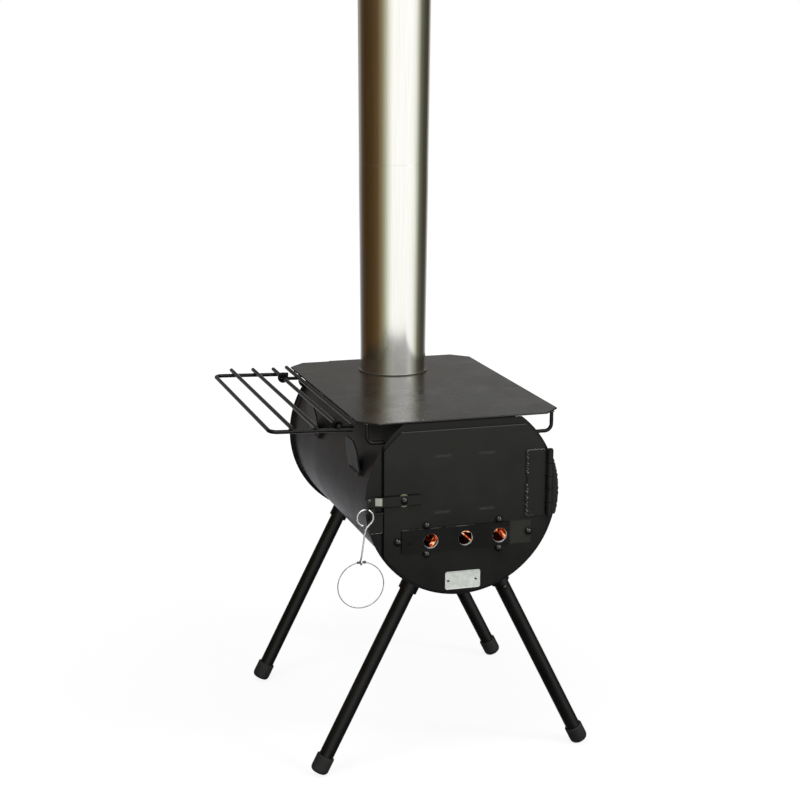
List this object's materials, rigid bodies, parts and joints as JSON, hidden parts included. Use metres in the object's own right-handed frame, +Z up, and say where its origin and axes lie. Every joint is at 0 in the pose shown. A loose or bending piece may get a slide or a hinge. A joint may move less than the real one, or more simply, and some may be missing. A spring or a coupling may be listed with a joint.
{
  "type": "tent wood stove",
  "caption": "Portable wood stove: barrel firebox on splayed pull-out legs, flat cooktop, hinged round door with sliding draught plate and latch, tapered flue pipe, folding side rack.",
  "frame": {"origin": "middle of the footprint, on the ground under the feet", "axes": "+Z up along the flue, -Y out of the door, +X to the hinge side, seen from the front"},
  "size_m": [0.5885, 0.545, 1.4108],
  "materials": {
    "stove_body": "black heat-proof paint, satin",
    "door": "black heat-proof paint, satin, a little paler where it is hot",
    "cooktop": "black heat-proof paint, satin, with a soft mirror of the flue",
    "heat_shield": "bare steel, sooted",
    "slider": "black heat-proof paint, rubbed by the rivets",
    "flue_collar": "black paint on the bead, bare inside",
    "flue_pipe": "polished stainless sheet",
    "sockets": "black paint, round the tops of the legs",
    "leg_tubes": "black paint, satin",
    "foot_caps": "matt black rubber",
    "stays": "black paint on round rod",
    "tabs": "black paint on bent plate",
    "latch": "black paint on cut plate",
    "hinge": "black paint over weld beads",
    "fasteners": "black painted domed heads",
    "washer": "brass, dull",
    "wire": "bare drawn wire",
    "rack_rods": "black paint on round rod",
    "grate": "scaled and sooted",
    "name_plate": "silver, satin, bare"
  },
  "bodies": {
    "firebox": {"barrel_shell": "stove_body", "front_plate": "stove_body", "rear_plate": "stove_body", "cooktop": "cooktop", "flue_collar": "flue_collar", "leg_stub_fl": "sockets", "leg_stub_fr": "sockets", "leg_stub_rl": "sockets", "leg_stub_rr": "sockets", "cooktop_stay_fl": "stays", "cooktop_stay_fr": "stays", "cooktop_stay_rl": "stays", "cooktop_stay_rr": "stays", "hanger_tab_front": "tabs", "hanger_tab_rear": "tabs", "latch_keeper": "latch", "hinge_pad": "stove_body", "hinge_frame_leaf": "hinge", "hinge_pin": "fasteners", "rack_edge_rod": "rack_rods", "rack_links": "rack_rods"},
    "grate": {"grate_rods": "grate", "grate_bearers": "grate"},
    "door": {"door_plate": "door", "heat_shield": "heat_shield", "shield_brackets": "heat_shield", "hinge_door_leaf": "hinge", "draught_rivets": "fasteners", "stop_bolts": "fasteners", "name_plate": "name_plate", "name_plate_rivets": "fasteners", "latch_bolt": "fasteners", "latch_washer": "washer"},
    "latch": {"latch_bar": "latch"},
    "pull_link": {"wire_pull": "wire"},
    "pull_ring": {"pull_ring": "wire"},
    "slider": {"draught_slider": "slider"},
    "lower_pipe": {"lower_pipe": "flue_pipe"},
    "upper_pipe": {"upper_pipe": "flue_pipe"},
    "rack": {"rack_frame": "rack_rods", "rack_rod_outer": "rack_rods", "rack_rod_inner": "rack_rods", "rack_hinge_rod": "rack_rods"},
    "leg_fl": {"leg_tube_fl": "leg_tubes", "leg_screw_fl": "fasteners", "foot_cap_fl": "foot_caps"},
    "leg_fr": {"leg_tube_fr": "leg_tubes", "leg_screw_fr": "fasteners", "foot_cap_fr": "foot_caps"},
    "leg_rl": {"leg_tube_rl": "leg_tubes", "leg_screw_rl": "fasteners", "foot_cap_rl": "foot_caps"},
    "leg_rr": {"leg_tube_rr": "leg_tubes", "leg_screw_rr": "fasteners", "foot_cap_rr": "foot_caps"}
  },
  "joints": [
    {"name": "door_hinge", "type": "hinge", "parent": "firebox", "child": "door", "pos_m": [0.18965, -0.2667, 0.5085], "axis": [0, 0, 1], "range_deg": [0, 160]},
    {"name": "latch_pivot", "type": "hinge", "parent": "door", "child": "latch", "pos_m": [-0.07035, -0.2649, 0.4956], "axis": [0, 1, 0], "range_deg": [-8, 20]},
    {"name": "pull_swing", "type": "hinge", "parent": "latch", "child": "pull_link", "pos_m": [-0.13645, -0.267, 0.4865], "axis": [1, 0, 0], "range_deg": [-60, 5]},
    {"name": "ring_swing", "type": "hinge", "parent": "pull_link", "child": "pull_ring", "pos_m": [-0.14718, -0.267, 0.39567], "axis": [1, 0, 0], "range_deg": [-60, 60]},
    {"name": "draught_slide", "type": "slide", "parent": "door", "child": "slider", "axis": [1, 0, 0], "range_m": [0, 0.029]},
    {"name": "lower_pipe_lift", "type": "slide", "parent": "firebox", "child": "lower_pipe", "axis": [0, 0, 1], "range_m": [0, 0.045]},
    {"name": "upper_pipe_lift", "type": "slide", "parent": "lower_pipe", "child": "upper_pipe", "axis": [0, 0, 1], "range_m": [0, 0.04]},
    {"name": "rack_fold", "type": "hinge", "parent": "firebox", "child": "rack", "pos_m": [-0.17485, -0.0025, 0.624], "axis": [0, 1, 0], "range_deg": [0, 162]},
    {"name": "grate_lift", "type": "slide", "parent": "firebox", "child": "grate", "axis": [0, 0, 1], "range_m": [0, 0.03]},
    {"name": "leg_fl_pull", "type": "slide", "parent": "firebox", "child": "leg_fl", "axis": [-0.4509, 0, -0.8926], "range_m": [0, 0.03]},
    {"name": "leg_fr_pull", "type": "slide", "parent": "firebox", "child": "leg_fr", "axis": [0.4509, 0, -0.8926], "range_m": [0, 0.03]},
    {"name": "leg_rl_pull", "type": "slide", "parent": "firebox", "child": "leg_rl", "axis": [-0.4509, 0, -0.8926], "range_m": [0, 0.03]},
    {"name": "leg_rr_pull", "type": "slide", "parent": "firebox", "child": "leg_rr", "axis": [0.4509, 0, -0.8926], "range_m": [0, 0.03]}
  ]
}
